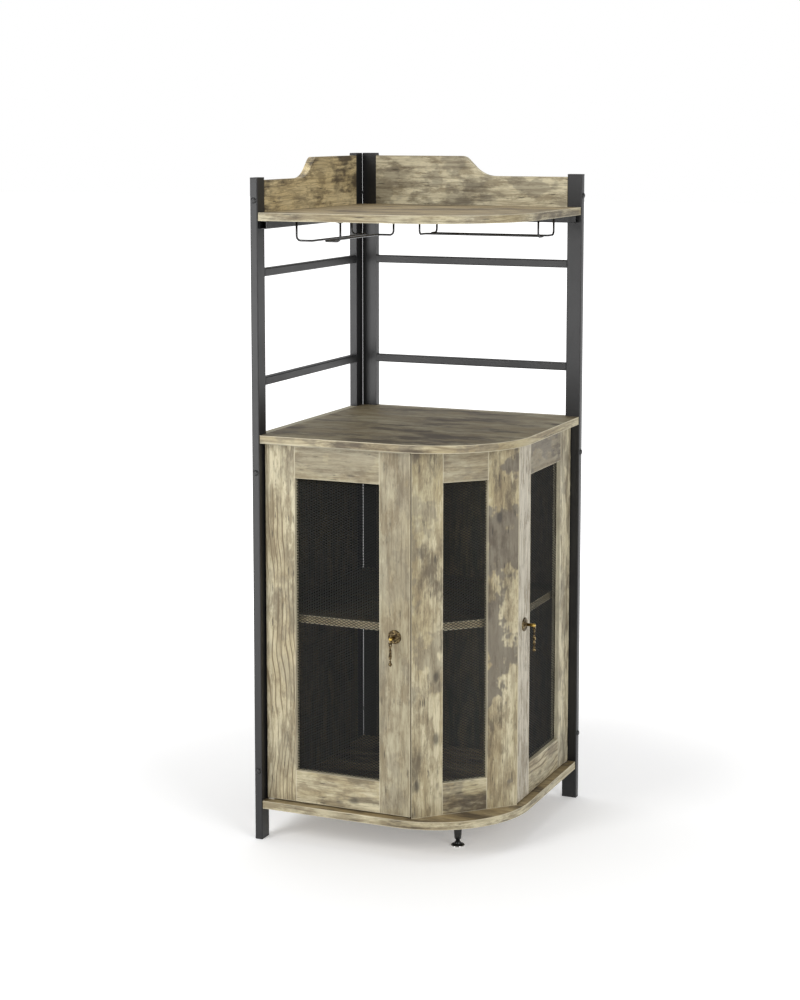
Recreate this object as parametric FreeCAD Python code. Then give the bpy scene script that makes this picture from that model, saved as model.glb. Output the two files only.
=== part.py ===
# Corner bar cabinet: two steel side frames meet in the corner of a room and carry a
# top shelf with wire glass racks, a rail-backed open bay and a low cabinet with two
# mesh doors either side of a fixed mesh panel across the corner.
# Millimetres. The cabinet is drawn with X along the right-hand wall, Y towards the
# back and Z up from the floor, from the inner corner of the two side frames. It is
# the same on both sides of the diagonal, so right-hand pieces mirror left-hand ones.
# Each solid is written with the origin on the floor under the middle of the cabinet.

import FreeCAD
import Part
import math
import os

# Side frames of rectangular steel tube
frame_length = 466.0
post_width = 30.0
post_depth = 15.0
tube_wall = 1.2
tube_corner = 2.0
corner_post_rise = 102.0
outer_post_rise = 63.5
rung_height = 15.0
upper_rung_drop = 103.5
lower_rung_rise = 105.0
bearer_size = 15.0
bearer_end_gap = 6.0

# Plastic caps and foot plugs in the tube ends
end_cover_thickness = 3.0
end_plug_length = 14.0
end_plug_clearance = 0.05
end_cover_chamfer = 1.2

# Boards of the shelves and the cabinet. Shares are of a side frame's length
board = 15.0
shelf_setback = 2.0
shelf_round_share = 0.41416
top_shelf_top = 1181.0
cabinet_top_top = 771.0
base_top = 75.0
inner_shelf_top = 432.0
board_edge_round = 1.0

# Backboards of the top shelf, with an S-shaped step between a high and a low part
gallery_high_rise = 97.0
gallery_low_rise = 58.0
gallery_high_share = 0.45708
gallery_step_share = 0.15451
gallery_crown_radius = 20.0
gallery_turn = 45.0

# Doors and the fixed panel across the corner. A stile's share is of its panel's width
door_inset = 15.0
door_width_share = 0.62768
door_side_gap = 3.0
door_end_gap = 3.0
door_lock_gap = 2.5
stile_share = 0.20855
rail_height = 60.0
centre_stile_share = 0.2904
hinge_edge_round = 1.5

# Mesh held in grooves of the frames
mesh_thickness = 1.2
groove_depth = 8.0
groove_setback = 8.0
mesh_clearance = 0.3
mesh_strand = 2.6
door_mesh_columns = 4
door_mesh_rows = 8
centre_mesh_columns = 2
centre_mesh_rows = 8

# Pivot pins of the doors and the square nylon bearings set into the boards
pivot_edge_distance = 7.5
pivot_radius = 2.0
pivot_seat_depth = 24.0
pivot_bearing_reach = 8.0
pivot_clearance = 0.05
bearing_side = 12.0
bearing_depth = 10.0
bearing_stand = 1.2

# Magnetic catches and strike plates
magnet_width = 40.0
magnet_depth = 13.0
magnet_height = 14.0
magnet_edge_round = 2.0
strike_width = 24.0
strike_height = 11.0
strike_thickness = 1.2
catch_gap = 0.3
strike_drop = 1.5

# Button heads of the bolts that hold the boards between the posts
bolt_head_radius = 5.5
bolt_crown_radius = 3.6
bolt_head_height = 3.0
gallery_bolt_rise = 22.0
panel_bolt_drop = 70.5
panel_bolt_rise = 57.0

# Inner shelf and the small support blocks screwed to the boards beneath it
shelf_side_gap = 1.5
shelf_front_gap = 5.0
support_width = 16.0
support_height = 12.0
support_reach = 14.0
support_from_corner = 70.0
support_from_front = 45.0

# Wire glass racks under the top shelf
wire_radius = 2.0
rack_drop = 36.0
rack_leg_line = 62.0
rack_width = 88.0
rack_slot = 25.0
rack_front_inset = 34.0
rack_length_share = 0.51931
rack_bend_radius = 8.0
bend_steps = 3
rack_tab_thickness = 2.0
rack_tab_length = 18.0
rack_tab_width = 10.0

# Pendant pulls
pull_height = 338.5
rosette_radius = 13.0
rosette_thickness = 3.2
rosette_rim = 1.6
rosette_rim_width = 2.6
stem_radius = 3.2
stem_length = 17.0
tongue_width = 2.4
tongue_radius = 2.6
tongue_drop = 7.5
fork_gap = 3.0
fork_ear = 1.5
fork_radius = 2.8
fork_length = 5.0
fork_base = 1.6
pull_pin_radius = 1.0
pull_pin_clearance = 0.08
drop_length = 43.0
drop_neck_radius = 1.4
drop_spindle_radius = 3.4
drop_ball_radius = 3.6

# Levelling foot under the front of the base
foot_diagonal_share = 1.06652
sleeve_radius = 7.5
sleeve_length = 46.0
sleeve_seat_depth = 8.0
sleeve_clearance = 0.05
foot_stem_radius = 4.0
foot_stem_clearance = 0.08
foot_pad_radius = 13.0
foot_pad_height = 5.0
foot_hub_radius = 6.5
foot_hub_height = 3.0
foot_top_gap = 4.0

# Sides of the wires, drops and bolt heads, the shared overrun of all cutting shapes,
# and the distance below which two points are the same
ring_sides = 8
overrun = 1.0
tolerance = 1e-6

shelf_side = frame_length - shelf_setback
shelf_round = frame_length * shelf_round_share
gallery_high_length = frame_length * gallery_high_share
gallery_step_run = frame_length * gallery_step_share
door_width = frame_length * door_width_share
stile_width = door_width * stile_share
rack_length = frame_length * rack_length_share
foot_from_corner = frame_length * foot_diagonal_share
corner_post_height = top_shelf_top + corner_post_rise
outer_post_height = top_shelf_top + outer_post_rise
upper_rung_top = top_shelf_top - upper_rung_drop
lower_rung_top = cabinet_top_top + lower_rung_rise
top_shelf_underside = top_shelf_top - board
cabinet_underside = cabinet_top_top - board
base_underside = base_top - board
inner_shelf_underside = inner_shelf_top - board
door_face = shelf_side - door_inset
door_back = door_face - board
door_low = base_top + door_end_gap
door_high = cabinet_underside - door_end_gap
door_height = door_high - door_low
centre_start = door_side_gap + door_width + door_lock_gap
centre_width = (door_face - centre_start) * math.sqrt(2)
centre_stile_width = centre_width * centre_stile_share
groove_width = mesh_thickness + 2 * mesh_clearance

up = FreeCAD.Vector(0, 0, 1)
right = FreeCAD.Vector(1, 0, 0)
back = FreeCAD.Vector(0, 1, 0)
across = FreeCAD.Vector(1, 1, 0).normalize()
inward = FreeCAD.Vector(-1, 1, 0).normalize()
zero = FreeCAD.Vector(0, 0, 0)

nodes = {}


def outline(corners):
    """A closed flat wire through (x, y, radius) corners, with a tangent arc where radius isn't zero."""
    count = len(corners)
    stops = []
    for index, (x, y, radius) in enumerate(corners):
        here = FreeCAD.Vector(x, y, 0)
        if radius == 0:
            stops.append((here, None, here))
            continue
        previous_x, previous_y, _ = corners[index - 1]
        next_x, next_y, _ = corners[(index + 1) % count]
        behind = (FreeCAD.Vector(previous_x, previous_y, 0) - here).normalize()
        ahead = (FreeCAD.Vector(next_x, next_y, 0) - here).normalize()
        half_angle = behind.getAngle(ahead) / 2
        reach = radius / math.tan(half_angle)
        to_centre = (behind + ahead).normalize()
        middle = here + to_centre * (radius / math.sin(half_angle) - radius)
        stops.append((here + behind * reach, middle, here + ahead * reach))
    edges = []
    for index, (start, middle, end) in enumerate(stops):
        if middle is not None:
            edges.append(Part.Arc(start, middle, end).toShape())
        following = stops[(index + 1) % count][0]
        if not end.isEqual(following, tolerance):
            edges.append(Part.LineSegment(end, following).toShape())
    return Part.Wire(edges)


def plate(corners, low, high):
    """A flat board with the given outline between two heights."""
    face = Part.Face(outline(corners))
    face.translate(up * low)
    return face.extrude(up * (high - low))


def block(x_range, y_range, z_range, radius=0):
    """An upright block with its four upright edges rounded."""
    corners = [(x_range[0], y_range[0], radius), (x_range[1], y_range[0], radius),
               (x_range[1], y_range[1], radius), (x_range[0], y_range[1], radius)]
    return plate(corners, z_range[0], z_range[1])


def rod(radius, start, direction, length):
    """A round bar, or the cutter for a round hole."""
    return Part.makeCylinder(radius, length, start, direction)


def ring(centre, side, other, radius):
    """The corners of a regular flat ring."""
    corners = []
    for index in range(ring_sides):
        angle = 2 * math.pi * index / ring_sides
        corners.append(centre + side * (radius * math.cos(angle)) + other * (radius * math.sin(angle)))
    return corners


def polygon(corners):
    """A flat face through its corners."""
    return Part.Face(Part.makePolygon(corners + corners[:1]))


def skinned(rings):
    """A solid through rings of corners, with flat ends and flat facets between the rings."""
    faces = [polygon(rings[0]), polygon(rings[-1])]
    for near, far in zip(rings, rings[1:]):
        for index in range(ring_sides):
            following = (index + 1) % ring_sides
            faces.append(polygon([near[index], near[following], far[following]]))
            faces.append(polygon([near[index], far[following], far[index]]))
    solid = Part.makeSolid(Part.makeShell(faces))
    if solid.Volume < 0:
        solid.reverse()
    return solid


def turned(centre, along, side, steps):
    """A faceted solid along an axis, through rings given as (radius, distance)."""
    other = along.cross(side)
    rings = []
    for radius, distance in steps:
        rings.append(ring(centre + along * distance, side, other, radius))
    return skinned(rings)


def placed(shape, origin, along, inwards):
    """Move a shape drawn at zero so that its X points along, its Y inwards and its Z up."""
    turn = FreeCAD.Rotation(along, inwards, along.cross(inwards), "XYZ")
    moved = shape.copy()
    moved.Placement = FreeCAD.Placement(origin, turn).multiply(shape.Placement)
    return moved


def mirrored(shape):
    """The same piece on the other side of the diagonal through the corner."""
    return shape.mirror(zero, FreeCAD.Vector(1, 1, 0))


def add(name, *solids):
    """Keep one named piece, or a group of like pieces."""
    nodes[name] = solids[0] if len(solids) == 1 else Part.makeCompound(list(solids))


def add_pair(name, *solids):
    """Keep a left-hand piece and its mirror image."""
    add("left_" + name, *solids)
    add("right_" + name, *[mirrored(solid) for solid in solids])


def tube(x_range, y_range, z_range, along):
    """A hollow rectangular tube, drawn upright unless its length lies along Y."""
    if along == "z":
        outer = block(x_range, y_range, z_range, tube_corner)
        hollow = block((x_range[0] + tube_wall, x_range[1] - tube_wall),
                       (y_range[0] + tube_wall, y_range[1] - tube_wall),
                       (z_range[0] - overrun, z_range[1] + overrun))
        return outer.cut(hollow)
    low, high = y_range
    width = x_range[1] - x_range[0]
    height = z_range[1] - z_range[0]
    outer = block((0, width), (0, height), (0, high - low), tube_corner)
    hollow = block((tube_wall, width - tube_wall), (tube_wall, height - tube_wall),
                   (-overrun, high - low + overrun))
    return placed(outer.cut(hollow), FreeCAD.Vector(x_range[0], high, z_range[0]), right, up)


def bolt_heights():
    """Where the bolts cross the posts: one in the backboard and two in the back panel."""
    return [top_shelf_top + gallery_bolt_rise, cabinet_top_top - panel_bolt_drop, base_top + panel_bolt_rise]


def post_bolts():
    """The heads of one side frame's bolts, on the narrow outer faces of its posts."""
    bolts = []
    for height in bolt_heights():
        for y, outwards in ((-frame_length, -back), (0, back)):
            seat = FreeCAD.Vector(-post_depth / 2, y, height)
            steps = [(bolt_head_radius, 0), (bolt_crown_radius, bolt_head_height)]
            bolts.append(turned(seat, outwards, up, steps))
    return bolts


def side_frames():
    """Posts, rungs, shelf bearers and end covers of both side frames."""
    x_range = (-post_depth, 0)
    front = (-frame_length, post_width - frame_length)
    rear = (-post_width, 0)
    tube_low = end_cover_thickness
    front_post = tube(x_range, front, (tube_low, outer_post_height - end_cover_thickness), "z")
    rear_post = tube(x_range, rear, (tube_low, corner_post_height - end_cover_thickness), "z")
    add_pair("front_post", front_post)
    add_pair("rear_post", rear_post)
    rungs = []
    for top in (upper_rung_top, lower_rung_top):
        rungs.append(tube(x_range, (front[1], rear[0]), (top - rung_height, top), "y"))
    add_pair("rungs", *rungs)
    covers = {"post_caps": [], "foot_plugs": []}
    for y_range, height in ((front, outer_post_height), (rear, corner_post_height)):
        covers["post_caps"].append(end_cover(x_range, y_range, height - end_cover_thickness, -1))
        covers["foot_plugs"].append(end_cover(x_range, y_range, end_cover_thickness, 1))
    for name, pieces in covers.items():
        add(name, *(pieces + [mirrored(piece) for piece in pieces]))


def end_cover(x_range, y_range, tube_end, plug_side):
    """A plastic cover over a tube end, with a plug inside the tube above or below it."""
    inset = tube_wall + end_plug_clearance
    plug_end = tube_end + plug_side * end_plug_length
    cover_end = tube_end - plug_side * end_cover_thickness
    x_low, x_high = x_range
    y_low, y_high = y_range
    chamfer = end_cover_chamfer
    corners = [(x_low + chamfer, y_low, 0), (x_high - chamfer, y_low, 0), (x_high, y_low + chamfer, 0),
               (x_high, y_high - chamfer, 0), (x_high - chamfer, y_high, 0), (x_low + chamfer, y_high, 0),
               (x_low, y_high - chamfer, 0), (x_low, y_low + chamfer, 0)]
    low, high = sorted((tube_end, cover_end))
    cover = plate(corners, low, high)
    plug = block((x_range[0] + inset, x_range[1] - inset), (y_range[0] + inset, y_range[1] - inset),
                 sorted((tube_end, plug_end)))
    return cover.fuse(plug).removeSplitter()


def bearers():
    """Square tubes on the inner side of each frame that carry the top shelf."""
    z_range = (top_shelf_underside - bearer_size, top_shelf_underside)
    end = bearer_end_gap - shelf_side
    add("left_shelf_bearer", tube((0, bearer_size), (end, 0), z_range, "y"))
    add("right_shelf_bearer", mirrored(tube((0, bearer_size), (end, -bearer_size), z_range, "y")))


def shelf_outline():
    """A square board with one large rounded corner towards the room."""
    edge = shelf_side
    return [(0, 0, 0), (0, -edge, board_edge_round), (edge, -edge, shelf_round), (edge, 0, board_edge_round)]


def gallery_outline():
    """Backboard outline as corner distance and height: high by the corner, an S-step, then low."""
    turn = math.radians(gallery_turn)
    high = top_shelf_top + gallery_high_rise
    low = top_shelf_top + gallery_low_rise
    drop = high - low
    run = gallery_step_run
    both_radii = (run * math.sin(turn) - drop * math.cos(turn)) / (1 - math.cos(turn))
    hollow_radius = both_radii - gallery_crown_radius
    crown = gallery_high_length + gallery_crown_radius * math.tan(turn / 2)
    hollow = gallery_high_length + run - hollow_radius * math.tan(turn / 2)
    return [(post_width, top_shelf_underside, 0), (frame_length - post_width, top_shelf_underside, 0),
            (frame_length - post_width, low, 0), (hollow, low, hollow_radius),
            (crown, high, gallery_crown_radius), (post_width, high, 0)]


def back_boards():
    """Backboards over the top shelf and back panels of the cabinet, between the posts."""
    add_pair("gallery_board", placed(plate(gallery_outline(), 0, post_depth), zero, -back, up))
    add_pair("back_panel", block((-post_depth, 0), (post_width - frame_length, -post_width),
                                 (base_underside, cabinet_top_top)))
    bolts = post_bolts()
    add("frame_bolts", *(bolts + [mirrored(bolt) for bolt in bolts]))


def both_sides(shapes):
    """A list of left-hand shapes followed by their mirror images."""
    return shapes + [mirrored(shape) for shape in shapes]


def centre_point(along, depth, height):
    """A point of the corner panel: along its face, in from its face and up."""
    start = FreeCAD.Vector(centre_start, -door_face, height)
    return start + across * along + inward * depth


def pivot_axis(height):
    """A point on the hinge axis of the left door."""
    return FreeCAD.Vector(door_side_gap + pivot_edge_distance, -door_face + board / 2, height)


def bearing(start, direction):
    """A square bearing let into a board's face and standing a little proud, also used as its pocket."""
    half = bearing_side / 2
    ends = sorted((start.z - direction.z * bearing_stand, start.z + direction.z * bearing_depth))
    return block((start.x - half, start.x + half), (start.y - half, start.y + half), ends)


def bearing_places():
    """Where the left door's two bearings are set, with the direction into the board."""
    return [(pivot_axis(base_top), -up), (pivot_axis(cabinet_underside), up)]


def pivot_bearings():
    """Square nylon bearings in the base and under the cabinet top, for the left door."""
    bearings = []
    for start, direction in bearing_places():
        bore = rod(pivot_radius + pivot_clearance, start - direction * (bearing_stand + overrun), direction,
                   bearing_stand + bearing_depth + 2 * overrun)
        bearings.append(bearing(start, direction).cut(bore))
    return bearings


def rack_wires():
    """The two bent wires of the left glass rack, with a flat tab at each leg's top."""
    front = rack_front_inset - shelf_side
    rear = front + rack_length
    low = top_shelf_underside - rack_drop
    top = top_shelf_underside - rack_tab_thickness
    side_run = (rack_width - rack_slot) / 2
    wires = []
    for leg, rail in ((rack_leg_line, rack_leg_line + side_run),
                      (rack_leg_line + rack_width, rack_leg_line + rack_width - side_run)):
        route = [(leg, front, top), (leg, front, low), (rail, front, low),
                 (rail, rear, low), (leg, rear, low), (leg, rear, top)]
        wire = bent_wire([FreeCAD.Vector(*point) for point in route], rack_bend_radius)
        tabs = []
        for y in (front, rear):
            tabs.append(block((leg - rack_tab_width / 2, leg + rack_tab_width / 2),
                              (y - rack_tab_length / 2, y + rack_tab_length / 2), (top, top_shelf_underside)))
        wires.append(wire.fuse(tabs).removeSplitter())
    return wires


def bent_wire(points, radius):
    """A faceted wire along straight runs joined by bends. Its first run stands upright."""
    side = right
    other = back
    rings = [ring(points[0], side, other, wire_radius)]
    for before, corner, after in zip(points, points[1:], points[2:]):
        behind = (before - corner).normalize()
        ahead = (after - corner).normalize()
        half_angle = behind.getAngle(ahead) / 2
        centre = corner + (behind + ahead).normalize() * (radius / math.sin(half_angle))
        start = corner + behind * (radius / math.tan(half_angle)) - centre
        turn = 180 - math.degrees(2 * half_angle)
        for step in range(bend_steps + 1):
            rotation = FreeCAD.Rotation(ahead.cross(behind), turn * step / bend_steps)
            rings.append(ring(centre + rotation.multVec(start), rotation.multVec(side),
                              rotation.multVec(other), wire_radius))
        side = rotation.multVec(side)
        other = rotation.multVec(other)
    rings.append(ring(points[-1], side, other, wire_radius))
    return skinned(rings)


def shelves():
    """Top shelf, cabinet top and cabinet base."""
    add("top_shelf", plate(shelf_outline(), top_shelf_underside, top_shelf_top))
    pockets = []
    for start, direction in bearing_places():
        pockets.append(bearing(start, direction))
    pockets = both_sides(pockets)
    add("cabinet_top", plate(shelf_outline(), cabinet_underside, cabinet_top_top).cut(pockets))
    foot = foot_axis(base_underside)
    socket = rod(sleeve_radius + sleeve_clearance, foot - up * overrun, up,
                 overrun + sleeve_seat_depth + sleeve_clearance)
    add("cabinet_base", plate(shelf_outline(), base_underside, base_top).cut(pockets + [socket]))


def support(gap):
    """A support block drawn at zero: X along the board, Y out from it and its top under the shelf."""
    half = support_width / 2
    z_range = (inner_shelf_underside - support_height, inner_shelf_underside)
    return block((-half, half), (0, gap + support_reach), z_range)


def inner_shelf():
    """The shelf inside the cabinet, cut back behind the doors and the corner panel, and its supports."""
    edge = door_back - shelf_front_gap
    corner_line = centre_start + door_face - (board + shelf_front_gap) * math.sqrt(2)
    near = corner_line - edge
    corners = [(shelf_side_gap, -shelf_side_gap, 0), (shelf_side_gap, -edge, board_edge_round),
               (near, -edge, board_edge_round), (edge, -near, board_edge_round),
               (edge, -shelf_side_gap, board_edge_round)]
    add("inner_shelf", plate(corners, inner_shelf_underside, inner_shelf_top))
    supports = []
    for distance in (support_from_corner, door_back - support_from_front):
        supports.append(placed(support(shelf_side_gap), FreeCAD.Vector(0, -distance, 0), -back, right))
    supports = both_sides(supports)
    middle = (centre_stile_width + board) / 2
    for along in (middle, centre_width - middle):
        supports.append(placed(support(shelf_front_gap), centre_point(along, board, 0), across, inward))
    add("shelf_supports", *supports)


def diamond_holes(width, height, columns, rows):
    """The openings of a diamond net in a window, with half and quarter diamonds at its borders."""
    pitch_x = width / columns
    pitch_z = height / rows
    slope = math.hypot(1 / pitch_x, 1 / pitch_z)
    half_x = pitch_x / 2 - mesh_strand * slope * pitch_x / 2
    half_z = half_x * pitch_z / pitch_x
    holes = []
    for row in range(2 * rows + 1):
        for column in range(row % 2, 2 * columns + 1, 2):
            x = column * pitch_x / 2
            z = row * pitch_z / 2
            points = []
            for px, pz in ((x - half_x, z), (x, z + half_z), (x + half_x, z), (x, z - half_z)):
                point = FreeCAD.Vector(min(max(px, 0), width), min(max(pz, 0), height), 0)
                if not points or not point.isEqual(points[-1], tolerance):
                    points.append(point)
            if points[0].isEqual(points[-1], tolerance):
                points.pop()
            if len(points) > 2:
                holes.append(Part.makePolygon(points + [points[0]]))
    return holes


def mesh_sheet(window_width, window_height, columns, rows):
    """A flat sheet of diamond mesh, with a plain border in the grooves of its frame."""
    border = groove_depth - mesh_clearance
    edge = outline([(-border, -border, 0), (window_width + border, -border, 0),
                    (window_width + border, window_height + border, 0), (-border, window_height + border, 0)])
    face = Part.Face([edge] + diamond_holes(window_width, window_height, columns, rows))
    return face.extrude(up * mesh_thickness)


def frame_boards(width, height, stile, stile_outlines, columns, rows):
    """Two stiles, two rails and the mesh of a framed panel, drawn at zero.
    X runs along the panel's face, Y in from it and Z up."""
    window_width = width - 2 * stile
    window_height = height - 2 * rail_height
    groove = block((stile - groove_depth, width - stile + groove_depth),
                   (groove_setback, groove_setback + groove_width),
                   (rail_height - groove_depth, height - rail_height + groove_depth))
    boards = {}
    for name, corners in zip(("first_stile", "second_stile"), stile_outlines):
        boards[name] = plate(corners, 0, height).cut(groove)
    for name, low in (("bottom_rail", 0), ("top_rail", height - rail_height)):
        rail = block((stile, width - stile), (0, board), (low, low + rail_height))
        boards[name] = rail.cut(groove)
    sheet = mesh_sheet(window_width, window_height, columns, rows)
    mesh_start = FreeCAD.Vector(stile, groove_setback + mesh_clearance + mesh_thickness, rail_height)
    boards["mesh"] = placed(sheet, mesh_start, right, up)
    return boards


def centre_panel():
    """The fixed mesh panel across the corner, whose ends are mitred to face the doors."""
    stile = centre_stile_width
    far = centre_width
    outlines = [[(0, 0, 0), (stile, 0, 0), (stile, board, 0), (board, board, 0)],
                [(far - stile, 0, 0), (far, 0, 0), (far - board, board, 0), (far - stile, board, 0)]]
    height = cabinet_underside - base_top
    boards = frame_boards(far, height, stile, outlines, centre_mesh_columns, centre_mesh_rows)
    start = centre_point(0, 0, base_top)
    names = {"first_stile": "centre_left_stile", "second_stile": "centre_right_stile"}
    for key, name in names.items():
        add(name, placed(boards[key], start, across, inward))
    for key in ("bottom_rail", "top_rail", "mesh"):
        add("centre_" + key, placed(boards[key], start, across, inward))


def door():
    """The left door with its mesh, pivot pins and strike plate, and their mirror images."""
    stile = stile_width
    far = door_width
    outlines = [[(0, 0, hinge_edge_round), (stile, 0, 0), (stile, board, 0), (0, board, hinge_edge_round)],
                [(far - stile, 0, 0), (far, 0, board_edge_round), (far, board, board_edge_round),
                 (far - stile, board, 0)]]
    boards = frame_boards(far, door_height, stile, outlines, door_mesh_columns, door_mesh_rows)
    start = FreeCAD.Vector(door_side_gap, -door_face, door_low)
    seats = []
    pins = []
    for height, outwards in ((door_low, -up), (door_high, up)):
        end = pivot_axis(height)
        length = pivot_seat_depth + door_end_gap + pivot_bearing_reach
        pins.append(rod(pivot_radius, end - outwards * pivot_seat_depth, outwards, length))
        depth = pivot_seat_depth + pivot_clearance
        seats.append(rod(pivot_radius + pivot_clearance, end - outwards * depth, outwards, depth + overrun))
    add_pair("door_hinge_stile", placed(boards["first_stile"], start, right, back).cut(seats))
    add_pair("door_lock_stile", placed(boards["second_stile"], start, right, back))
    for key in ("bottom_rail", "top_rail", "mesh"):
        add_pair("door_" + key, placed(boards[key], start, right, back))
    add_pair("door_pivots", *pins)
    strike_x = pull_point().x
    strike_high = door_high - strike_drop
    add_pair("door_strike", block((strike_x - strike_width / 2, strike_x + strike_width / 2),
                                  (-door_back, strike_thickness - door_back),
                                  (strike_high - strike_height, strike_high)))


def magnets():
    """Magnetic catches under the cabinet top, just behind the strike plates."""
    front = strike_thickness + catch_gap - door_back
    middle = pull_point().x
    left = block((middle - magnet_width / 2, middle + magnet_width / 2), (front, front + magnet_depth),
                 (cabinet_underside - magnet_height, cabinet_underside), magnet_edge_round)
    add("door_magnets", left, mirrored(left))


def pull_point():
    """The middle of the left pull's seat on the lock stile."""
    x = door_side_gap + door_width - stile_width / 2
    return FreeCAD.Vector(x, -door_face, base_top + pull_height)


def pull_pivot():
    """The middle of the pin that the left pull's drop swings on."""
    return pull_point() - back * (rosette_thickness + stem_length) - up * tongue_drop


def pull_mount():
    """The round stepped rosette, and the stem that ends in a flat tongue hanging down."""
    seat = pull_point()
    length = rosette_thickness + stem_length + tongue_radius
    plates = [rod(rosette_radius, seat, -back, rosette_rim),
              rod(rosette_radius - rosette_rim_width, seat, -back, rosette_thickness)]
    stem = rod(stem_radius, seat, -back, length)
    pivot = pull_pivot()
    side = right * (tongue_width / 2)
    rounded_end = rod(tongue_radius, pivot - side, right, tongue_width)
    plate_up = block((pivot.x - tongue_width / 2, pivot.x + tongue_width / 2),
                     (pivot.y - tongue_radius, pivot.y + tongue_radius), (pivot.z, pivot.z + tongue_drop))
    bore = rod(pull_pin_radius + pull_pin_clearance, pivot - right * stem_radius, right, 2 * stem_radius)
    return stem.fuse(plates + [rounded_end, plate_up]).cut(bore).removeSplitter()


def pull_drop():
    """The hanging drop: a fork on a pin, then a spindle and a small ball."""
    pivot = pull_pivot()
    outer = fork_gap / 2 + fork_ear
    pieces = [rod(pull_pin_radius, pivot - right * outer, right, 2 * outer)]
    for side in (-outer, fork_gap / 2):
        pieces.append(block((pivot.x + side, pivot.x + side + fork_ear),
                            (pivot.y - fork_radius, pivot.y + fork_radius),
                            (pivot.z - fork_length, pivot.z + fork_radius)))
    base = fork_length + fork_base
    ball = drop_ball_radius
    neck = drop_neck_radius
    ball_top = drop_length - 2 * ball
    rings = [(neck, fork_length), (neck, base), (drop_spindle_radius, (base + ball_top) / 2), (neck, ball_top),
             (ball, drop_length - ball), (ball / 2, drop_length)]
    yoke = block((pivot.x - outer, pivot.x + outer), (pivot.y - fork_radius, pivot.y + fork_radius),
                 (pivot.z - base, pivot.z - fork_length))
    return turned(pivot, -up, right, rings).fuse(pieces + [yoke]).removeSplitter()


def foot_axis(height):
    """A point on the axis of the levelling foot, on the diagonal."""
    reach = foot_from_corner / math.sqrt(2)
    return FreeCAD.Vector(reach, -reach, height)


def levelling_foot():
    """The sleeve pressed into the base, and the pad with the stem that slides in it."""
    axis = foot_axis(base_underside)
    length = sleeve_length + sleeve_seat_depth
    bottom = axis - up * sleeve_length
    bore = rod(foot_stem_radius + foot_stem_clearance, bottom - up * overrun, up, length + 2 * overrun)
    add("foot_sleeve", rod(sleeve_radius, bottom, up, length).cut(bore))
    stem_top = base_underside + sleeve_seat_depth - foot_top_gap
    floor = foot_axis(0)
    pad = [rod(foot_pad_radius, floor, up, foot_pad_height),
           rod(foot_hub_radius, floor, up, foot_pad_height + foot_hub_height)]
    stem = rod(foot_stem_radius, floor, up, stem_top)
    add("levelling_foot", stem.fuse(pad).removeSplitter())


def write_nodes():
    """Write each node with the origin on the floor under the middle of the cabinet and its pulls."""
    pull_reach = door_face + rosette_thickness + stem_length + max(drop_ball_radius, drop_spindle_radius)
    middle = (pull_reach - post_depth) / 2
    os.makedirs("parts", exist_ok=True)
    for name, shape in nodes.items():
        moved = shape.copy()
        moved.translate(FreeCAD.Vector(-middle, middle, 0))
        moved.exportStep("parts/" + name + ".step")


side_frames()
bearers()
back_boards()
shelves()
inner_shelf()
centre_panel()
door()
add("pivot_bearings", *both_sides(pivot_bearings()))
magnets()
add_pair("pull_mount", pull_mount())
add_pair("pull_drop", pull_drop())
add_pair("glass_rack", *rack_wires())
levelling_foot()
write_nodes()
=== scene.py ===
import math

import bpy
from mathutils import Matrix, Vector


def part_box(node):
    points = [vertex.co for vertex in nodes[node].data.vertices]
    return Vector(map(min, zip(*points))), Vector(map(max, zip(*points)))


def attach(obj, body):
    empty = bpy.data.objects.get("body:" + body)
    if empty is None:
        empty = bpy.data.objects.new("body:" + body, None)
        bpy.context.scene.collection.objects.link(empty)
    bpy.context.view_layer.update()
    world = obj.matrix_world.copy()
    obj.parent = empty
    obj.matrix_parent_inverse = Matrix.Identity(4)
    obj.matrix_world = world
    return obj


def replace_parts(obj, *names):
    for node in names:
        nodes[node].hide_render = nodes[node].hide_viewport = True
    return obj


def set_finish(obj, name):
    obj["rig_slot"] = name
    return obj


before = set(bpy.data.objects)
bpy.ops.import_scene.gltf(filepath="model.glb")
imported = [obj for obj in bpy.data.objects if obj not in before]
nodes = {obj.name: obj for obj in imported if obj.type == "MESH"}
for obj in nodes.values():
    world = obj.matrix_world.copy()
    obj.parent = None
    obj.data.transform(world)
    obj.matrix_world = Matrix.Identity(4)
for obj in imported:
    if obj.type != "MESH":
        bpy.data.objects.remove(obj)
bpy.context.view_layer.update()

X = Vector((1, 0, 0))
Y = Vector((0, 1, 0))
Z = Vector((0, 0, 1))
FRONT = Vector((1, 1, 0)).normalized()


# Materials


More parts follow.
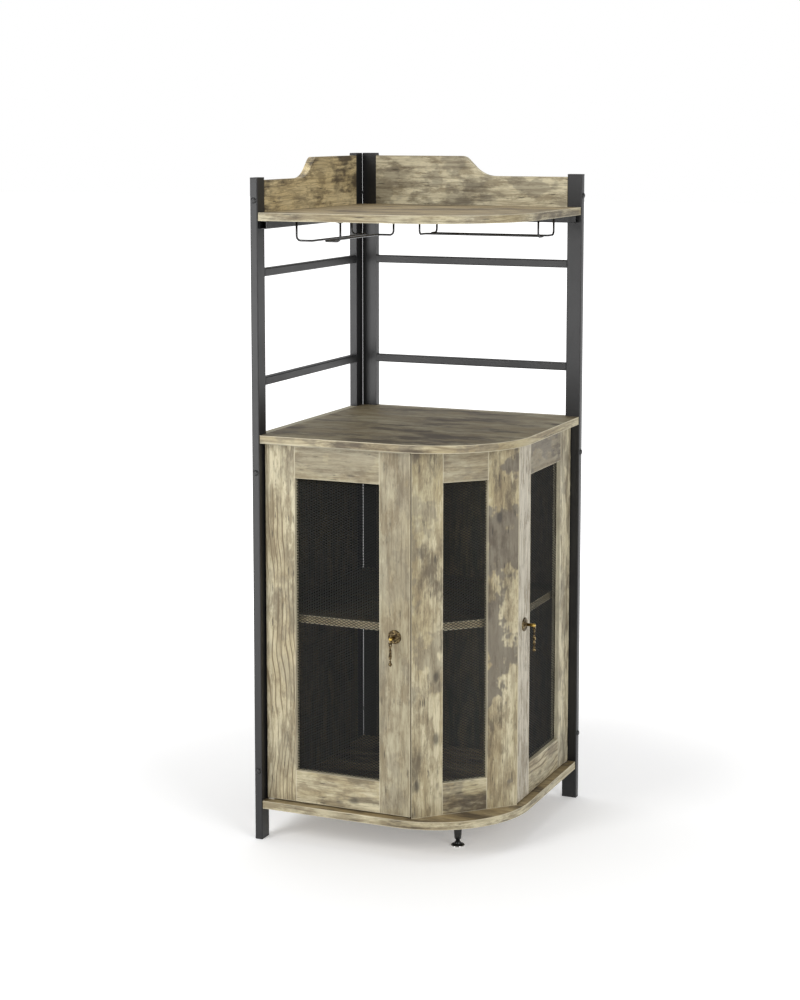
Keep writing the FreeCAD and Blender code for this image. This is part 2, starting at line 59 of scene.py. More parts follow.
class Wire:
    """One socket of a material, joined with others by plain arithmetic."""

    def __init__(self, graph, socket):
        self.graph = graph
        self.socket = socket

    def math(self, operation, *others):
        inputs = dict(enumerate((self,) + others))
        return self.graph.node("ShaderNodeMath", {"operation": operation}, inputs)

    def __add__(self, other):
        return self.math("ADD", other)

    def __sub__(self, other):
        return self.math("SUBTRACT", other)

    def __rsub__(self, other):
        return self.math("MULTIPLY", -1.0).math("ADD", other)

    def __mul__(self, other):
        return self.math("MULTIPLY", other)

    def vector(self, operation, other, output="Vector"):
        return self.graph.node("ShaderNodeVectorMath", {"operation": operation}, {0: self, 1: other}, output)

    def dot(self, direction):
        return self.vector("DOT_PRODUCT", tuple(direction), "Value")

    def scaled(self, factors):
        return self.vector("MULTIPLY", factors)

    def moved(self, offset):
        return self.vector("ADD", offset)

    def ramp(self, low, high):
        """0 below low, 1 above high and smooth between. Low may be the greater."""
        return self.graph.node("ShaderNodeMapRange", {"interpolation_type": "SMOOTHSTEP"},
                               {"Value": self, "From Min": low, "From Max": high})

    def least(self, other):
        return self.math("MINIMUM", other)

    def most(self, other):
        return self.math("MAXIMUM", other)

    def mixed(self, other, factor):
        """This colour turned towards another by a factor."""
        return self.graph.node("ShaderNodeMix", {"data_type": "RGBA"}, {0: factor, 6: self, 7: other}, 2)


class Graph:
    """The nodes of one material."""

    def __init__(self, name, slot):
        self.material = bpy.data.materials.new(name)
        self.material["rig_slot"] = slot
        self.material.use_nodes = True
        self.tree = self.material.node_tree
        self.tree.nodes.clear()

    def node(self, kind, settings, inputs, output=0):
        """Make a node and wrap one output."""
        return Wire(self, self.made(kind, settings, inputs).outputs[output])

    def made(self, kind, settings, inputs):
        """Make a node, set its properties, and set or link its inputs."""
        made = self.tree.nodes.new(kind)
        for key, value in settings.items():
            setattr(made, key, value)
        for key, value in inputs.items():
            if isinstance(value, Wire):
                self.tree.links.new(value.socket, made.inputs[key])
            else:
                made.inputs[key].default_value = value
        return made

    def colour(self, red, green, blue):
        """A fixed colour as the start of a chain of mixes."""
        shade = (red, green, blue, 1)
        return self.node("ShaderNodeMix", {"data_type": "RGBA"}, {0: 0.0, 6: shade, 7: shade}, 2)

    def noise(self, place, scale, detail=3.0, roughness=0.55):
        return self.node("ShaderNodeTexNoise", {}, {"Vector": place.scaled(scale), "Scale": 1.0,
                                                    "Detail": detail, "Roughness": roughness})

    def cells(self, place, scale, output):
        """Scattered points in the plane of the first two coordinates."""
        return self.node("ShaderNodeTexVoronoi", {"voronoi_dimensions": "2D"},
                         {"Vector": place.scaled(scale), "Scale": 1.0}, output)

    def bump(self, height, strength, distance):
        return self.node("ShaderNodeBump", {}, {"Height": height, "Strength": strength, "Distance": distance})

    def finish(self, **inputs):
        """Close the material with a plain shader."""
        sockets = {key.replace("_", " "): value for key, value in inputs.items()}
        shader = self.node("ShaderNodeBsdfPrincipled", {}, sockets)
        self.made("ShaderNodeOutputMaterial", {}, {"Surface": shader})
        return self.material

    def place(self):
        """The point in the row frame at rest, which travels with its body."""
        return self.node("ShaderNodeTexCoord", {}, {}, "Object")


def srgb(red, green, blue):
    """A linear colour from screen values of 0 to 255."""
    return tuple(((value / 255 + 0.055) / 1.055) ** 2.4 for value in (red, green, blue))


def rgba(colour):
    return tuple(colour) + (1.0,)


GLOSS_SPREAD = 0.10
CLOUD_SCALE = (14, 14, 14)
GRIT_SCALE = (1400, 1400, 1400)
GRIT_DEPTH = 0.0004


def painted(name, slot, colour, roughness, grit=0.0, **more):
    """A plain surface with a faint uneven gloss, and fine grit where it has some."""
    graph = Graph(name, slot)
    place = graph.place()
    cloud = graph.noise(place, CLOUD_SCALE, 3)
    gloss = cloud * GLOSS_SPREAD + (roughness - GLOSS_SPREAD / 2)
    inputs = {"Base_Color": rgba(colour), "Roughness": gloss}
    if grit:
        inputs["Normal"] = graph.bump(graph.noise(place, GRIT_SCALE, 2), grit, GRIT_DEPTH)
    inputs.update(more)
    return graph.finish(**inputs)


PALE = srgb(206, 197, 166)
BODY = srgb(171, 157, 122)
OLIVE = srgb(160, 148, 108)
SHADE = srgb(120, 105, 77)
GREY = srgb(103, 96, 84)
STAIN = srgb(72, 61, 46)
CRACK = srgb(40, 33, 25)
# Pale colour for the lines along board edges: a painted highlight.
EDGE_HIGHLIGHT = srgb(206, 198, 172)

# Each look: how far greyed, stained, ringed and knotted, then a tint and how far the board turns
# to it. Shelves are tinted on their level faces only.
LOOKS = {
    "light": (0.30, 0.35, 1.0, 0.3, srgb(206, 196, 164), 0.35),
    "mixed": (0.55, 0.60, 0.25, 0.9, BODY, 0.0),
    "olive": (0.50, 0.85, 0.20, 0.9, srgb(166, 154, 120), 0.15),
    "greyed": (0.30, 0.30, 0.15, 0.2, srgb(152, 144, 121), 0.60),
    "plain_grey": (0.08, 0.08, 0.0, 0.0, srgb(202, 195, 178), 0.88),
    "patched": (1.0, 0.90, 0.20, 1.0, BODY, 0.10),
    "dark": (0.60, 1.0, 0.20, 0.6, srgb(162, 148, 114), 0.25),
    "dusky": (0.80, 0.9, 0.10, 0.4, srgb(112, 104, 86), 0.75),
    "warm": (0.25, 1.0, 0.40, 0.6, srgb(226, 202, 148), 0.60),
    "cream": (0.50, 0.60, 0.20, 0.4, srgb(232, 223, 192), 0.60),
    "shelf": (0.15, 0.90, 0.60, 0.2, srgb(158, 134, 90), 0.65),
    "dark_top": (0.50, 1.0, 0.70, 0.3, srgb(112, 104, 82), 0.60),
    # The inner look is nearly all a dark tint on the shelf's level faces: painted shade inside the cabinet.
    "inner": (0.0, 0.10, 0.0, 0.0, srgb(56, 56, 42), 0.92),
    # This look is nearly all a dark tint: painted shade for the inside of the cabinet, on the back panels.
    "inside_painted_shade": (0.30, 0.40, 0.10, 0.3, srgb(36, 39, 29), 0.95),
}
SHELVES = ("top_shelf", "cabinet_top", "cabinet_base", "inner_shelf")
GALLERY = ("left_gallery_board", "right_gallery_board")
WOOD_RELIEF = 0.0006
BOARD_EDGE = 0.0005


def wood(node, slot, along, across, seed, look):
    """A worn, printed wood board with grain along one direction, and along the rim of a shelf.

    Its edges get thin painted highlight lines, which the gallery boards don't have.
    """
    greying, staining, ringing, knotting, tint, tinting = LOOKS[look]
    graph = Graph("wood_" + node, slot)
    place = graph.place()
    u = place.dot(along)
    v = place.dot(across)
    w = place.dot(along.cross(across))
    corners = [vertex.co for vertex in nodes[node].data.vertices]
    lift = 0.75 * (1 - tinting) ** 1.5
    # Painted highlight: a light line along the board's edges, and along the top and bottom arrises of a
    # shelf's rim.
    edge_highlight = None
    if node in SHELVES:
        normal = graph.node("ShaderNodeTexCoord", {}, {}, "Normal")
        level = normal.dot(Z).math("ABSOLUTE").ramp(0.80, 0.96)
        rim = 1 - level
        height = place.dot(Z)
        heights = [corner.z for corner in corners]
        edge_highlight = (height - min(heights)).least(max(heights) - height).ramp(0.0018, 0.0008) * rim
        u = u * level + place.dot(FRONT) * rim
        v = v * level + height * rim
        w = w * level
        tinting = level * tinting
    elif node not in GALLERY:
        us = [corner.dot(along) for corner in corners]
        vs = [corner.dot(across) for corner in corners]
        nearest = (u - min(us)).least(max(us) - u).least((v - min(vs)).least(max(vs) - v))
        edge_highlight = nearest.ramp(0.0011, 0.0006)
    local = graph.node("ShaderNodeCombineXYZ", {}, {0: u, 1: v, 2: w})
    local = local.moved((seed * 1.37, seed * 0.71, seed * 0.43))
    broad = graph.noise(local, (2.8, 10, 10), 3)
    sway = graph.noise(local, (5, 26, 26), 3)
    brush = graph.noise(local, (10, 150, 150), 5, 0.7)
    fine = graph.noise(local, (40, 640, 640), 3, 0.6)
    mottle = graph.noise(local, (16, 46, 46), 6, 0.72)
    smear = graph.noise(local, (7, 18, 18), 6, 0.68) + brush * 0.15
    blot = graph.noise(local, (10, 13, 13), 4, 0.6) + brush * 0.06
    bend = graph.noise(local, (3.6, 9, 9), 2)
    rings = (v * 640 + bend * 46).math("SINE").ramp(0.45, 1.0) * sway.ramp(0.34, 0.56)
    size = (8.5, 15, 15)
    chosen = graph.cells(local, size, "Color").dot((1, 0, 0)).ramp(0.62, 0.64)
    spot = graph.cells(local, size, "Distance") + brush * 0.06
    knots = spot.ramp(0.17, 0.07) * chosen * knotting
    size = (30, 220, 220)
    picked = graph.cells(local, size, "Color").dot((1, 0, 0)).ramp(0.86, 0.90)
    cracks = graph.cells(local, size, "Distance").ramp(0.34, 0.12) * picked * mottle.ramp(0.42, 0.56)

    layers = [
        (BODY, sway.ramp(0.36, 0.62)),
        (OLIVE, broad.ramp(0.48, 0.66) * 0.5),
        (tint, tinting),
        (PALE, mottle.ramp(0.48, 0.36) * lift),
        (SHADE, mottle.ramp(0.47, 0.61) * 0.65),
        (SHADE, brush.ramp(0.45, 0.64) * 0.55),
        (SHADE, rings * ringing),
        (GREY, blot.ramp(0.555, 0.600) * (greying * 0.85)),
        (STAIN, smear.ramp(0.555, 0.70) * (staining * 0.9)),
        (STAIN, fine.ramp(0.52, 0.72) * 0.45),
        (CRACK, knots * 0.75),
        (CRACK, cracks * 0.7),
    ]
    # The painted highlight along the edges.
    if edge_highlight is not None:
        layers.append((EDGE_HIGHLIGHT, edge_highlight * 0.55))
    colour = graph.colour(*PALE)
    for shade, amount in layers:
        colour = colour.mixed(rgba(shade), amount)
    relief = graph.bump(brush * 0.6 + fine * 0.4, 0.12, WOOD_RELIEF)
    return graph.finish(Base_Color=colour, Roughness=brush * 0.18 + 0.44, Normal=relief)


def dress(node, material):
    """Give a CAD node its only material and the slot of that material."""
    target = nodes[node]
    target.data.materials.clear()
    target.data.materials.append(material)
    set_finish(target, material["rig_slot"])


def soften(node, width):
    """Round the sharp edges of a CAD node a little."""
    target = nodes[node]
    bevel = target.modifiers.new("edges", "BEVEL")
    bevel.width = width
    bevel.segments = 2
    bevel.limit_method = "ANGLE"
    bevel.angle_limit = math.radians(40)
    bevel.harden_normals = True


# Boards: node, slot, grain direction, direction across it, seed and look
WOOD = "weathered_wood"
BOARDS = [
    ("left_door_hinge_stile", WOOD, Z, X, 1.3, "light"),
    ("left_door_lock_stile", WOOD, Z, X, 2.9, "greyed"),
    ("left_door_top_rail", WOOD, X, Z, 4.1, "greyed"),
    ("left_door_bottom_rail", WOOD, X, Z, 5.7, "mixed"),
    ("right_door_lock_stile", WOOD, Z, Y, 6.2, "plain_grey"),
    ("right_door_hinge_stile", WOOD, Z, Y, 7.9, "cream"),
    ("right_door_top_rail", WOOD, Y, Z, 8.3, "dusky"),
    ("right_door_bottom_rail", WOOD, Y, Z, 9.6, "light"),
    ("centre_left_stile", WOOD, Z, FRONT, 10.2, "olive"),
    ("centre_right_stile", WOOD, Z, FRONT, 11.8, "patched"),
    ("centre_top_rail", WOOD, FRONT, Z, 12.4, "greyed"),
    ("centre_bottom_rail", WOOD, FRONT, Z, 13.9, "dark"),
    ("left_gallery_board", WOOD, Y, Z, 14.5, "warm"),
    ("right_gallery_board", WOOD, X, Z, 15.1, "cream"),
    # The back panels carry painted shade.
    ("left_back_panel", WOOD, Z, Y, 16.7, "inside_painted_shade"),
    ("right_back_panel", WOOD, Z, X, 17.2, "inside_painted_shade"),
    ("top_shelf", "shelf_wood", X, Y, 18.6, "shelf"),
    ("cabinet_top", "cabinet_top_wood", X, Y, 19.3, "dark_top"),
    ("cabinet_base", "shelf_wood", X, Y, 20.8, "shelf"),
    # The inner shelf's top carries painted shade.
    ("inner_shelf", "shelf_wood", X, Y, 21.4, "inner"),
]
for node, slot, along, across, seed, look in BOARDS:
    dress(node, wood(node, slot, along, across, seed, look))
    soften(node, BOARD_EDGE)

powder = painted("powder_coat", "frame_steel", srgb(24, 24, 25), 0.38, 0.05)
plastic = painted("cap_plastic", "black_plastic", srgb(30, 30, 31), 0.5, 0.05)
nylon = painted("bearing_nylon", "nylon", srgb(205, 200, 186), 0.45)
zinc = painted("zinc_steel", "plain_steel", (0.55, 0.55, 0.54), 0.32, Metallic=1.0)
bolt_black = painted("bolt_black", "bolt_steel", srgb(28, 28, 28), 0.34)
net_black = painted("net_black", "mesh_steel", srgb(12, 15, 12), 0.36)
wire_black = painted("wire_black", "rack_wire", srgb(26, 26, 26), 0.30)
foot_black = painted("foot_black", "foot_steel", srgb(24, 24, 24), 0.30)
nickel = painted("foot_nickel", "foot_steel", (0.72, 0.71, 0.69), 0.18, Metallic=1.0)


def aged_brass():
    """Dark brass with brighter, smoother rubbed patches scattered at random."""
    graph = Graph("aged_brass", "antique_brass")
    place = graph.place()
    patches = graph.noise(place, (260, 260, 260), 4, 0.6)
    worn = patches.ramp(0.42, 0.66)
    colour = graph.colour(*srgb(62, 52, 38)).mixed(rgba(srgb(156, 136, 96)), worn * 0.6)
    return graph.finish(Base_Color=colour, Metallic=1.0, Roughness=0.52 - worn * 0.22)


brass = aged_brass()
# The stems' brass is brighter than the rosettes': a painted highlight, on a glossier finish.
stem_brass_highlight = painted("stem_brass_highlight", "antique_brass", srgb(182, 154, 84), 0.28, Metallic=1.0)

DRESSED = (
    (powder, ("left_front_post", "right_front_post", "left_rungs", "right_rungs",
              "left_shelf_bearer", "right_shelf_bearer", "foot_sleeve")),
    (plastic, ("post_caps", "foot_plugs", "shelf_supports", "door_magnets")),
    (zinc, ("left_door_pivots", "right_door_pivots", "left_door_strike", "right_door_strike")),
    (nylon, ("pivot_bearings",)),
)
for material, names in DRESSED:
    for name in names:
        dress(name, material)


# Meshes


def circle(centre, side, other, radius, sides):
    """Points around a centre, in the plane of two directions."""
    turns = [2 * math.pi * index / sides for index in range(sides)]
    return [centre + side * (radius * math.cos(turn)) + other * (radius * math.sin(turn)) for turn in turns]


class Shape:
    """Points and faces of one piece, gathered from simple forms."""

    def __init__(self):
        self.points = []
        self.faces = []
        self.materials = []
        self.smooth = []

    def skin(self, rings, material=0, smooth=True):
        """A skin through rings of points, with flat ends."""
        first = len(self.points)
        count = len(rings[0])
        for ring in rings:
            self.points.extend(ring)
        for span in range(len(rings) - 1):
            low = first + span * count
            high = low + count
            for index in range(count):
                after = (index + 1) % count
                self.face([low + index, low + after, high + after, high + index], material, smooth)
        last = first + (len(rings) - 1) * count
        self.face([first + index for index in reversed(range(count))], material, False)
        self.face([last + index for index in range(count)], material, False)

    def slab(self, outline, low, high):
        """A flat plate between two heights."""
        self.skin([[point + Z * low for point in outline], [point + Z * high for point in outline]], 0, False)

    def face(self, corners, material, smooth):
        self.faces.append(corners)
        self.materials.append(material)
        self.smooth.append(smooth)

    def lathe(self, origin, axis, side, steps, sides, material=0, smooth=True):
        """Turn (distance, radius) steps about an axis."""
        other = axis.cross(side)
        rings = [circle(origin + axis * distance, side, other, radius, sides) for distance, radius in steps]
        self.skin(rings, material, smooth)

    def sweep(self, path, radius, side, sides):
        """A round bar along a path."""
        rings = []
        for index, point in enumerate(path):
            before = path[max(index - 1, 0)]
            after = path[min(index + 1, len(path) - 1)]
            along = (after - before).normalized()
            side = (side - along * side.dot(along)).normalized()
            rings.append(circle(point, side, along.cross(side), radius, sides))
        self.skin(rings)

    def bar(self, start, end, width, thickness, side):
        """A straight flat bar. Side is the direction of its width."""
        along = (end - start).normalized()
        other = along.cross(side)
        corners = [side * (width / 2 * a) + other * (thickness / 2 * b)
                   for a, b in ((-1, -1), (1, -1), (1, 1), (-1, 1))]
        self.skin([[start + corner for corner in corners], [end + corner for corner in corners]], 0, False)

    def make(self, name, materials, body, mirrored=False):
        """The finished piece, riding on its body. Mirrored puts it on the other side of the diagonal."""
        points, faces = self.points, self.faces
        if mirrored:
            points = [Vector((-point.y, -point.x, point.z)) for point in points]
            faces = [face[::-1] for face in faces]
        mesh = bpy.data.meshes.new(name)
        mesh.from_pydata([tuple(point) for point in points], [], faces)
        for material in materials:
            mesh.materials.append(material)
        mesh.polygons.foreach_set("material_index", self.materials)
        mesh.polygons.foreach_set("use_smooth", self.smooth)
        mesh.update()
        made = bpy.data.objects.new(name, mesh)
        bpy.context.scene.collection.objects.link(made)
        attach(made, body)
        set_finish(made, materials[0]["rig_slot"])
        return made


def rounded_path(points, radius, steps):
    """A path along straight runs with tangent bends at its inner corners."""
    path = [points[0]]
    for before, corner, after in zip(points, points[1:], points[2:]):
        behind = (before - corner).normalized()
        ahead = (after - corner).normalized()
        half = behind.angle(ahead) / 2
        centre = corner + (behind + ahead).normalized() * (radius / math.sin(half))
        start = corner + behind * (radius / math.tan(half)) - centre
        turn = math.pi - 2 * half
        axis = ahead.cross(behind)
        for step in range(steps + 1):
            path.append(centre + Matrix.Rotation(turn * step / steps, 3, axis) @ start)
    path.append(points[-1])
    return path


def box_corners(node):
    low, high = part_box(node)
    return Vector(low), Vector(high)


# Rear posts, whose crisp corners leave only a fine seam at the room corner
POST_ROUNDING = 0.0004


def rear_post(name, node, mirrored):
    """A rear post with crisp corners. Both posts are drawn on the left."""
    low, high = box_corners("left_rear_post")
    outline = []
    for x, y, towards in ((low.x, low.y, (1, 1)), (high.x, low.y, (-1, 1)), (high.x, high.y, (-1, -1)),
                          (low.x, high.y, (1, -1))):
        along_x = Vector((x + towards[0] * POST_ROUNDING, y, 0))
        along_y = Vector((x, y + towards[1] * POST_ROUNDING, 0))
        outline += [along_y, along_x] if towards[0] * towards[1] > 0 else [along_x, along_y]
    shape = Shape()
    shape.slab(outline, low.z, high.z)
    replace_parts(shape.make(name, [powder], "frame", mirrored), node)


rear_post("left_rear_tube", "left_rear_post", False)
rear_post("right_rear_tube", "right_rear_post", True)


# Expanded diamond net in the doors and the corner panel
NET_LONG = 0.0100
NET_SHORT = 0.0051
NET_STRAND = 0.0010
NET_THICKNESS = 0.0005
NET_TILT = math.radians(28)
NET_MARGIN = 0.001
NET_SHORTEST = 0.002
NET_SHIFT = 0.00012


def net(name, node, along, body):
    """Strands of an expanded net that fill the place of a CAD sheet."""
    corners = [vertex.co for vertex in nodes[node].data.vertices]
    reach = [corner.dot(along) for corner in corners]
    heights = [corner.z for corner in corners]
    normal = along.cross(Z)
    depth = [corner.dot(normal) for corner in corners]
    middle = along * ((min(reach) + max(reach)) / 2) + normal * ((min(depth) + max(depth)) / 2)
    middle = middle + Z * ((min(heights) + max(heights)) / 2)
    half_width = (max(reach) - min(reach)) / 2 - NET_MARGIN
    half_height = (max(heights) - min(heights)) / 2 - NET_MARGIN
    shape = Shape()
    for sign in (-1, 1):
        slope = sign * NET_SHORT / NET_LONG
        offset = NET_SHORT * math.ceil((half_height + half_width * abs(slope)) / NET_SHORT)
        count = int(round(2 * offset / NET_SHORT))
        for index in range(count + 1):
            level = index * NET_SHORT - offset
            ends = sorted(((-half_height - level) / slope, (half_height - level) / slope))
            start = max(ends[0], -half_width)
            end = min(ends[1], half_width)
            if end - start < NET_SHORTEST:
                continue
            shift = normal * (sign * NET_SHIFT)
            first = middle + along * start + Z * (slope * start + level) + shift
            last = middle + along * end + Z * (slope * end + level) + shift
            direction = (last - first).normalized()
            flat = direction.cross(normal)
            side = flat * math.cos(NET_TILT) + normal * math.sin(NET_TILT)
            shape.bar(first, last, NET_STRAND, NET_THICKNESS, side)
    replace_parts(shape.make(name, [net_black], body), node)


net("left_door_net", "left_door_mesh", X, "left_door")
net("right_door_net", "right_door_mesh", Y, "right_door")
net("centre_net", "centre_mesh", FRONT, "frame")


# Glass racks of smooth wire
RACK_WIRE = 0.002
RACK_BEND = 0.008
RACK_RUN = 0.0315
LEG_INSET = 0.005
END_INSET = 0.009
TAB = 0.002
TAB_HALF_WIDTH = 0.005
TAB_HALF_LENGTH = 0.009
TAB_OUTLINE = ((-1, -0.7), (-0.6, -1), (0.6, -1), (1, -0.7), (1, 0.7), (0.6, 1), (-0.6, 1), (-1, 0.7))
SCREW_AWAY = 0.0062
SCREW_HEAD = ((0, 0.0022), (0.0007, 0.0020), (0.0012, 0.0011))


def glass_rack(name, node, mirrored):
    """The bent wires of a rack with their tabs and screws. Both racks are drawn on the left."""
    low, high = box_corners("left_glass_rack")
    front = low.y + END_INSET
    rear = high.y - END_INSET
    rail_height = low.z + RACK_WIRE
    top = high.z - TAB
    legs = (low.x + LEG_INSET, high.x - LEG_INSET)
    shape = Shape()
    for leg, rail in ((legs[0], legs[0] + RACK_RUN), (legs[1], legs[1] - RACK_RUN)):
        points = [Vector(point) for point in (
            (leg, front, top), (leg, front, rail_height), (rail, front, rail_height),
            (rail, rear, rail_height), (leg, rear, rail_height), (leg, rear, top))]
        shape.sweep(rounded_path(points, RACK_BEND, 8), RACK_WIRE, X, 14)
        for y in (front, rear):
            tab = [Vector((leg + a * TAB_HALF_WIDTH, y + b * TAB_HALF_LENGTH, 0)) for a, b in TAB_OUTLINE]
            shape.slab(tab, top, high.z)
            for away in (-SCREW_AWAY, SCREW_AWAY):
                shape.lathe(Vector((leg, y + away, top)), -Z, X, SCREW_HEAD, 16)
    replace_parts(shape.make(name, [wire_black], "frame", mirrored), node)


glass_rack("left_rack_wires", "left_glass_rack", False)
glass_rack("right_rack_wires", "right_glass_rack", True)


# Button heads with hexagon sockets on the posts, at the heights of the CAD bolts
BOLT_LEVELS = (1.203, 0.7005, 0.132)
BOLT_HEAD = ((0, 0.0055), (0.0006, 0.0055), (0.0019, 0.0046), (0.0027, 0.0032), (0.0028, 0.0019))
BOLT_SOCKET = ((0.0012, 0.0017), (0.00285, 0.0017))


def bolt_heads(name, mirrored):
    """The bolt heads of one side frame."""
    front_low, front_high = box_corners("left_front_post")
    _, rear_high = box_corners("left_rear_post")
    shape = Shape()
    middle = (front_low.x + front_high.x) / 2
    for level in BOLT_LEVELS:
        for face, outwards in ((front_low.y, -Y), (rear_high.y, Y)):
            seat = Vector((middle, face, level))
            shape.lathe(seat, outwards, Z, BOLT_HEAD, 28)
            shape.lathe(seat, outwards, Z, BOLT_SOCKET, 6, 1, False)
    return shape.make(name, [bolt_black, plastic], "frame", mirrored)


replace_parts(bolt_heads("left_bolt_heads", False), "frame_bolts")
bolt_heads("right_bolt_heads", True)


# Pendant pulls. Steps are (distance, radius), and those of BEADS go up from the drop's end.
PIN_OUT = 0.0202
PIN_DROP = 0.0075
ROSETTE = ((0, 0.0130), (0.0009, 0.0130), (0.0018, 0.0126), (0.0024, 0.0117), (0.0023, 0.0107),
           (0.0016, 0.0100), (0.0015, 0.0088), (0.0024, 0.0078), (0.0030, 0.0060),
           (0.0034, 0.0044), (0.0042, 0.0038), (0.0060, 0.0034))
STEM = ((0.004, 0.0030), (0.0165, 0.0028), (0.0172, 0.0034), (0.0190, 0.0035), (0.0208, 0.0034),
        (0.0220, 0.0026), (0.0226, 0.0012))
DROP_PIN = ((0, 0.0016), (0.0004, 0.0018), (0.0056, 0.0018), (0.0060, 0.0016))
COLLAR = ((0.0058, 0.0010), (0.0066, 0.0019), (0.0078, 0.0023), (0.0090, 0.0019), (0.0098, 0.0011))
BEADS = ((0.0106, 0.0010), (0.0100, 0.0020), (0.0090, 0.0022), (0.0082, 0.0016), (0.0076, 0.0013),
         (0.0068, 0.0024), (0.0050, 0.0034), (0.0034, 0.0036), (0.0018, 0.0029), (0.0008, 0.0016),
         (0.0001, 0.0008))
SPINDLE_TOP = 0.0096
SPINDLE_END = 0.0104
SPINDLE_STEPS = 26
SPINDLE_SIDES = 16
SPINDLE_TWIST = math.radians(300)


def pull_seat():
    """The middle of the left rosette on the door, the pin of its drop and the drop's lower end."""
    low, high = box_corners("left_pull_mount")
    drop_low, _ = box_corners("left_pull_drop")
    seat = Vector(((low.x + high.x) / 2, high.y, (low.z + high.z) / 2))
    pin = Vector((seat.x, seat.y - PIN_OUT, seat.z - PIN_DROP))
    return seat, pin, drop_low.z


def pull_mount(name, node, body, mirrored):
    """A moulded rosette with a stem that ends in a tongue."""
    seat, pin, _ = pull_seat()
    shape = Shape()
    shape.lathe(seat, -Y, X, ROSETTE, 40)
    # The stem takes the brighter brass, a painted highlight.
    shape.lathe(seat, -Y, X, STEM, 28, 1)
    shape.bar(seat - Y * PIN_OUT - Z * 0.0016, pin - Z * 0.0012, 0.0050, 0.0023, Y)
    shape.lathe(pin - X * 0.00115, X, Y, [(0, 0.0026), (0.0023, 0.0026)], 24)
    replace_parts(shape.make(name, [brass, stem_brass_highlight], body, mirrored), node)


def pull_drop(name, node, body, mirrored):
    """A drop with a forked top, a twisted leaf-like spindle and beads."""
    _, pin, bottom = pull_seat()
    shape = Shape()
    shape.lathe(pin - X * 0.0030, X, Y, DROP_PIN, 16)
    for side in (-1, 1):
        points = [pin + X * (side * 0.00225) + Z * 0.0006, pin + X * (side * 0.00225) - Z * 0.0045,
                  pin - Z * 0.0064]
        shape.sweep(rounded_path(points, 0.0012, 5), 0.00105, Y, 10)
    shape.lathe(pin, -Z, X, COLLAR, 20)
    length = pin.z - bottom
    end = length - SPINDLE_END
    rings = []
    for step in range(SPINDLE_STEPS + 1):
        share = step / SPINDLE_STEPS
        wide = 0.0010 + 0.0024 * math.sin(math.pi * share) ** 0.8
        thin = 0.0008 + 0.0014 * math.sin(math.pi * share)
        turn = SPINDLE_TWIST * share
        centre = pin - Z * (SPINDLE_TOP + (end - SPINDLE_TOP) * share)
        ring = []
        for index in range(SPINDLE_SIDES):
            angle = 2 * math.pi * index / SPINDLE_SIDES
            a = wide * math.cos(angle)
            b = thin * math.sin(angle)
            ring.append(centre + X * (a * math.cos(turn) - b * math.sin(turn))
                        + Y * (a * math.sin(turn) + b * math.cos(turn)))
        rings.append(ring[::-1])
    shape.skin(rings)
    shape.lathe(pin, -Z, X, [(length - above, radius) for above, radius in BEADS], 24)
    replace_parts(shape.make(name, [brass], body, mirrored), node)


pull_mount("left_pull_rosette", "left_pull_mount", "left_door", False)
pull_mount("right_pull_rosette", "right_pull_mount", "right_door", True)
pull_drop("left_pull_pendant", "left_pull_drop", "left_pull", False)
pull_drop("right_pull_pendant", "right_pull_drop", "right_pull", True)


# Levelling foot. The steps of SLEEVE_END go up from the sleeve's lower end.
SLEEVE_END = ((0, 0.0052), (0.0006, 0.0064), (0.012, 0.0072), (0.020, 0.0075))
SLEEVE_RADIUS = 0.0075
PAD_RIM = ((0, 0.0124), (0.0004, 0.0129), (0.0024, 0.0130), (0.0028, 0.0124))
PAD_HUB = ((0.0028, 0.0122), (0.0038, 0.0117), (0.0047, 0.0096), (0.0051, 0.0068), (0.0062, 0.0062),
           (0.0078, 0.0062), (0.0082, 0.0056), (0.0084, 0.0040), (0.062, 0.0040))


def foot():
    """The sleeve under the base and the pad with its hub, stem and bright rim."""
    low, high = box_corners("foot_sleeve")
    axis = Vector(((low.x + high.x) / 2, (low.y + high.y) / 2, 0))
    sleeve = Shape()
    steps = [(low.z + above, radius) for above, radius in SLEEVE_END] + [(high.z, SLEEVE_RADIUS)]
    sleeve.lathe(axis, Z, X, steps, 32)
    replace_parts(sleeve.make("foot_tube", [foot_black], "frame"), "foot_sleeve")
    pad = Shape()
    pad.lathe(axis, Z, X, PAD_RIM, 40, 1)
    pad.lathe(axis, Z, X, PAD_HUB, 36)
    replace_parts(pad.make("foot_pad", [foot_black, nickel], "levelling_foot"), "levelling_foot")


foot()


# Stage, light and camera
FLOOR_REACH = 30.0
WHITE = (1, 1, 1, 1)
FLOOR_GLOW = 0.23
WORLD_LIGHT = 0.42


def pale_floor():
    """A pale floor that keeps the shadow and turns white further away."""
    mesh = bpy.data.meshes.new("floor")
    corners = [(x * FLOOR_REACH, y * FLOOR_REACH, 0) for x, y in ((-1, -1), (1, -1), (1, 1), (-1, 1))]
    mesh.from_pydata(corners, [], [(0, 1, 2, 3)])
    floor = bpy.data.objects.new("floor", mesh)
    bpy.context.scene.collection.objects.link(floor)
    graph = Graph("floor", "stage")
    rays = [graph.node("ShaderNodeLightPath", {}, {}, name)
            for name in ("Is Camera Ray", "Is Glossy Ray", "Is Transmission Ray")]
    seen = rays[0].most(rays[1]).most(rays[2])
    away = graph.node("ShaderNodeVectorMath", {"operation": "LENGTH"}, {0: graph.place()}, "Value")
    glow = graph.colour(FLOOR_GLOW, FLOOR_GLOW, FLOOR_GLOW).mixed(WHITE, away.ramp(0.55, 1.7))
    mesh.materials.append(graph.finish(Base_Color=rgba((0.92, 0.92, 0.92)), Roughness=0.9,
                                       Emission_Color=glow, Emission_Strength=seen))


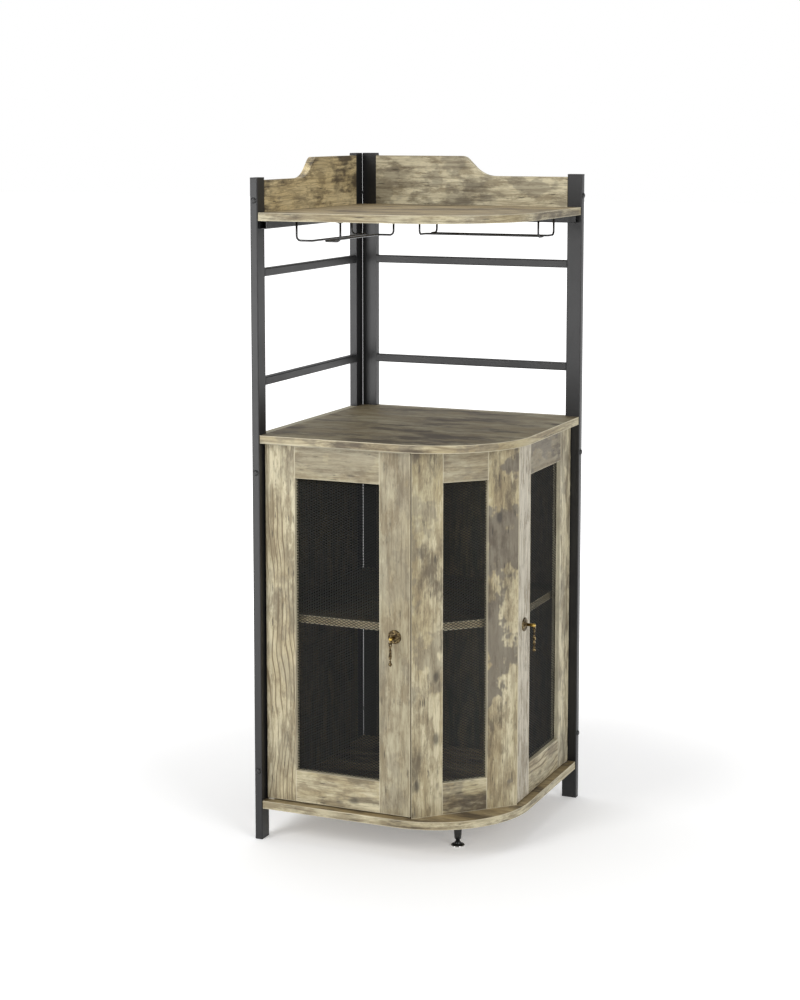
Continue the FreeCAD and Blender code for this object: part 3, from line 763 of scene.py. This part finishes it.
def white_world():
    """A world that is seen as white and lights with less."""
    world = bpy.data.worlds.new("studio")
    bpy.context.scene.world = world
    world.use_nodes = True
    tree = world.node_tree
    tree.nodes.clear()
    path = tree.nodes.new("ShaderNodeLightPath")
    most = tree.nodes.new("ShaderNodeMath")
    most.operation = "MAXIMUM"
    tree.links.new(path.outputs["Is Camera Ray"], most.inputs[0])
    tree.links.new(path.outputs["Is Transmission Ray"], most.inputs[1])
    strength = tree.nodes.new("ShaderNodeMapRange")
    tree.links.new(most.outputs[0], strength.inputs["Value"])
    strength.inputs["To Min"].default_value = WORLD_LIGHT
    strength.inputs["To Max"].default_value = 1.0
    background = tree.nodes.new("ShaderNodeBackground")
    background.inputs["Color"].default_value = WHITE
    tree.links.new(strength.outputs[0], background.inputs["Strength"])
    output = tree.nodes.new("ShaderNodeOutputWorld")
    tree.links.new(background.outputs[0], output.inputs["Surface"])


def area_light(name, place, target, size, watts):
    """A soft square lamp aimed at a point."""
    lamp = bpy.data.lights.new(name, "AREA")
    lamp.shape = "SQUARE"
    lamp.size = size
    lamp.energy = watts
    made = bpy.data.objects.new(name, lamp)
    made.location = place
    made.rotation_euler = (Vector(target) - Vector(place)).to_track_quat("-Z", "Y").to_euler()
    bpy.context.scene.collection.objects.link(made)


pale_floor()
white_world()
area_light("key", (-1.7, -3.4, 2.9), (0, 0, 0.7), 1.8, 52)
area_light("panel", (-1.7, -3.3, 0.8), (0, 0, 0.7), 1.5, 30)
area_light("fill", (3.4, -2.2, 1.8), (0, 0, 0.6), 1.8, 66)
area_light("top", (-0.4, 0.6, 3.6), (0, 0, 0.8), 2.4, 38)

camera_data = bpy.data.cameras.new("camera")
camera_data.sensor_width = 36
camera_data.lens = 74.93
camera_data.shift_y = -0.125
camera = bpy.data.objects.new("camera", camera_data)
camera.location = (1.5085, -3.6210, 1.3454)
camera.rotation_euler = (math.radians(90 - 6.94), 0, math.radians(23.26))
bpy.context.scene.collection.objects.link(camera)
bpy.context.scene.camera = camera
bpy.context.scene.view_settings.view_transform = "Standard"
